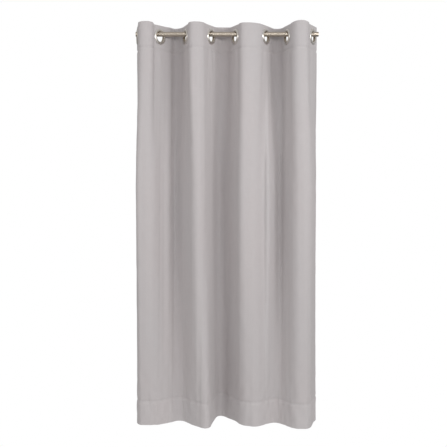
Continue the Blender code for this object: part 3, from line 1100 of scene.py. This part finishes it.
class CURTAIN_OT_rod(bpy.types.Operator):
    """Draw the rod and close its ends"""
    bl_idname = "curtain.rod"
    bl_label = "Make the rod"

    def execute(self, context):
        settings = context.scene.curtain_metal
        light = tuple(settings.rod_colour)
        dark = tuple(0.88 * part for part in light)
        metal = satin_metal("champagne rod", light, dark, 0.30, (1400, 1400, 26), 0.00002)
        plug_metal = satin_metal("turned plug", dark, tuple(0.8 * part for part in dark), 0.38,
                                 (500, 500, 500), 0.00002)
        bore = ROD_RADIUS - TUBE_WALL
        soften = ROD_SOFTENING
        profile = [(ROD_RADIUS - soften, ROD_HALF), (ROD_RADIUS, ROD_HALF - soften)]
        profile += [(ROD_RADIUS, z) for z in np.linspace(ROD_HALF - soften, soften - ROD_HALF, 26)[1:-1]]
        profile += [(ROD_RADIUS, soften - ROD_HALF), (ROD_RADIUS - soften, -ROD_HALF), (bore, -ROD_HALF),
                    (bore, ROD_HALF)]
        along_x = Matrix.Rotation(math.pi / 2, 4, "Y")
        add_metal("curtain_rod", turned_mesh("curtain_rod", profile[::-1], ROD_STEPS), along_x, "rod",
                  "rod_tube", "rod_metal", metal)
        plug_radius = bore - FIT_GAP
        for side in ("left", "right"):
            name = f"{side}_plug"
            low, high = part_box(f"{side}_rod_plug")
            depth = high.x - low.x
            outline = [(0.0, depth / 2), (plug_radius - soften, depth / 2),
                       (plug_radius, depth / 2 - soften), (plug_radius, -depth / 2 + soften),
                       (plug_radius - soften, -depth / 2), (0.0, -depth / 2)]
            place = Matrix.Translation(((low.x + high.x) / 2, 0, 0)) @ along_x
            add_metal(name, new_mesh(name, *turned_solid(outline, ROD_STEPS)), place, "rod",
                      f"{side}_rod_plug", "rod_metal", plug_metal)
        return {"FINISHED"}


class CURTAIN_OT_stage(bpy.types.Operator):
    """Set the pale floor, the soft light and the camera"""
    bl_idname = "curtain.stage"
    bl_label = "Set the stage"

    def execute(self, context):
        scene = context.scene
        settings = scene.curtain_stage
        self.floor(settings)
        self.surround(scene, settings)
        for name, power, azimuth in (("left lamp", settings.left_power, -48),
                                     ("front lamp", settings.front_power, 6),
                                     ("right lamp", settings.right_power, 42)):
            self.lamp(name, power, settings.lamp_distance, math.radians(azimuth))
        self.camera(scene, settings)
        scene.view_settings.view_transform = "Standard"
        return {"FINISHED"}

    def floor(self, settings):
        """A plain pale floor under the panel."""
        half = settings.floor_size / 2
        corners = [(-half, -half, 0), (half, -half, 0), (half, half, 0), (-half, half, 0)]
        material, tree, shader = new_material("pale floor")
        feed(tree, shader, {"Base Color": FLOOR_COLOUR, "Roughness": 0.7})
        floor = add_object("floor", new_mesh("floor", corners, [(0, 1, 2, 3)]), material)
        floor.location.z = settings.floor_level

    def surround(self, scene, settings):
        """A pale surround, brighter from above, that lights the cloth less strongly than it shows."""
        world = bpy.data.worlds.new("studio")
        scene.world = world
        world.use_nodes = True
        tree = world.node_tree
        way = node(tree, "ShaderNodeTexCoord").outputs["Generated"]
        height = node(tree, "ShaderNodeSeparateXYZ", {"Vector": way}).outputs["Z"]
        light = ranged(tree, height, -0.6, 0.6, settings.room_light * 0.62, settings.room_light * 1.38)
        shown = node(tree, "ShaderNodeLightPath").outputs["Is Camera Ray"]
        strength = node(tree, "ShaderNodeMix", {"Factor": shown, 2: light, 3: 1.0}, data_type="FLOAT")
        feed(tree, tree.nodes["Background"], {"Color": (1.0, 1.0, 1.0, 1.0),
                                              "Strength": strength.outputs[0]})

    def lamp(self, name, power, distance, azimuth):
        """A wide, low soft box aimed a little below the rod; azimuth turns it to the viewer's right."""
        light = bpy.data.lights.new(name, "AREA")
        light.energy = power
        light.shape = "RECTANGLE"
        light.size = LAMP_WIDTH
        light.size_y = LAMP_HEIGHT
        light.spread = LAMP_SPREAD
        lamp = add_object(name, light)
        back = Vector((math.sin(azimuth) * math.cos(LAMP_RISE), -math.cos(azimuth) * math.cos(LAMP_RISE),
                       math.sin(LAMP_RISE)))
        lamp.location = Vector((0, 0, LAMP_AIM)) + back * distance
        lamp.rotation_euler = (-back).to_track_quat("-Z", "Y").to_euler()

    def camera(self, scene, settings):
        """The camera in front of the panel, dipped a little."""
        data = bpy.data.cameras.new("camera")
        data.sensor_width = 36
        data.lens = settings.lens
        data.shift_x, data.shift_y = CAMERA_SHIFT
        camera = add_object("camera", data)
        camera.location = (0, -settings.distance, settings.eye_level)
        camera.rotation_euler = (math.pi / 2 - CAMERA_DIP, 0, 0)
        scene.camera = camera


class CURTAIN_PT_panel(bpy.types.Panel):
    """Steps and sizes of the curtain panel"""
    bl_label = "Curtain panel"
    bl_idname = "CURTAIN_PT_panel"
    bl_space_type = "VIEW_3D"
    bl_region_type = "UI"
    bl_category = "Curtain"

    def draw(self, context):
        layout = self.layout
        for step in STEPS:
            layout.operator(step.bl_idname)
        for group in GROUPS:
            settings = getattr(context.scene, group)
            box = layout.box()
            for name in settings.__annotations__:
                box.prop(settings, name)


STEPS = (CURTAIN_OT_stage, CURTAIN_OT_cloth, CURTAIN_OT_stiffening, CURTAIN_OT_stitching,
         CURTAIN_OT_side_hems, CURTAIN_OT_rings, CURTAIN_OT_rod)
GROUPS = {"curtain_cloth": CURTAIN_PG_cloth, "curtain_metal": CURTAIN_PG_metal,
          "curtain_stage": CURTAIN_PG_stage}
CLASSES = (*GROUPS.values(), *STEPS, CURTAIN_PT_panel)


def register():
    """Adds the classes and the scene's settings."""
    for item in CLASSES:
        bpy.utils.register_class(item)
    for name, group in GROUPS.items():
        setattr(bpy.types.Scene, name, PointerProperty(type=group))


def unregister():
    """Takes the settings and the classes away again."""
    for name in GROUPS:
        delattr(bpy.types.Scene, name)
    for item in reversed(CLASSES):
        bpy.utils.unregister_class(item)


def main():
    """Builds the panel and its stage."""
    register()
    bpy.ops.curtain.stage()
    bpy.ops.curtain.cloth()
    bpy.ops.curtain.stiffening()
    bpy.ops.curtain.stitching()
    bpy.ops.curtain.side_hems()
    bpy.ops.curtain.rings()
    bpy.ops.curtain.rod()


if __name__ == "__main__":
    main()
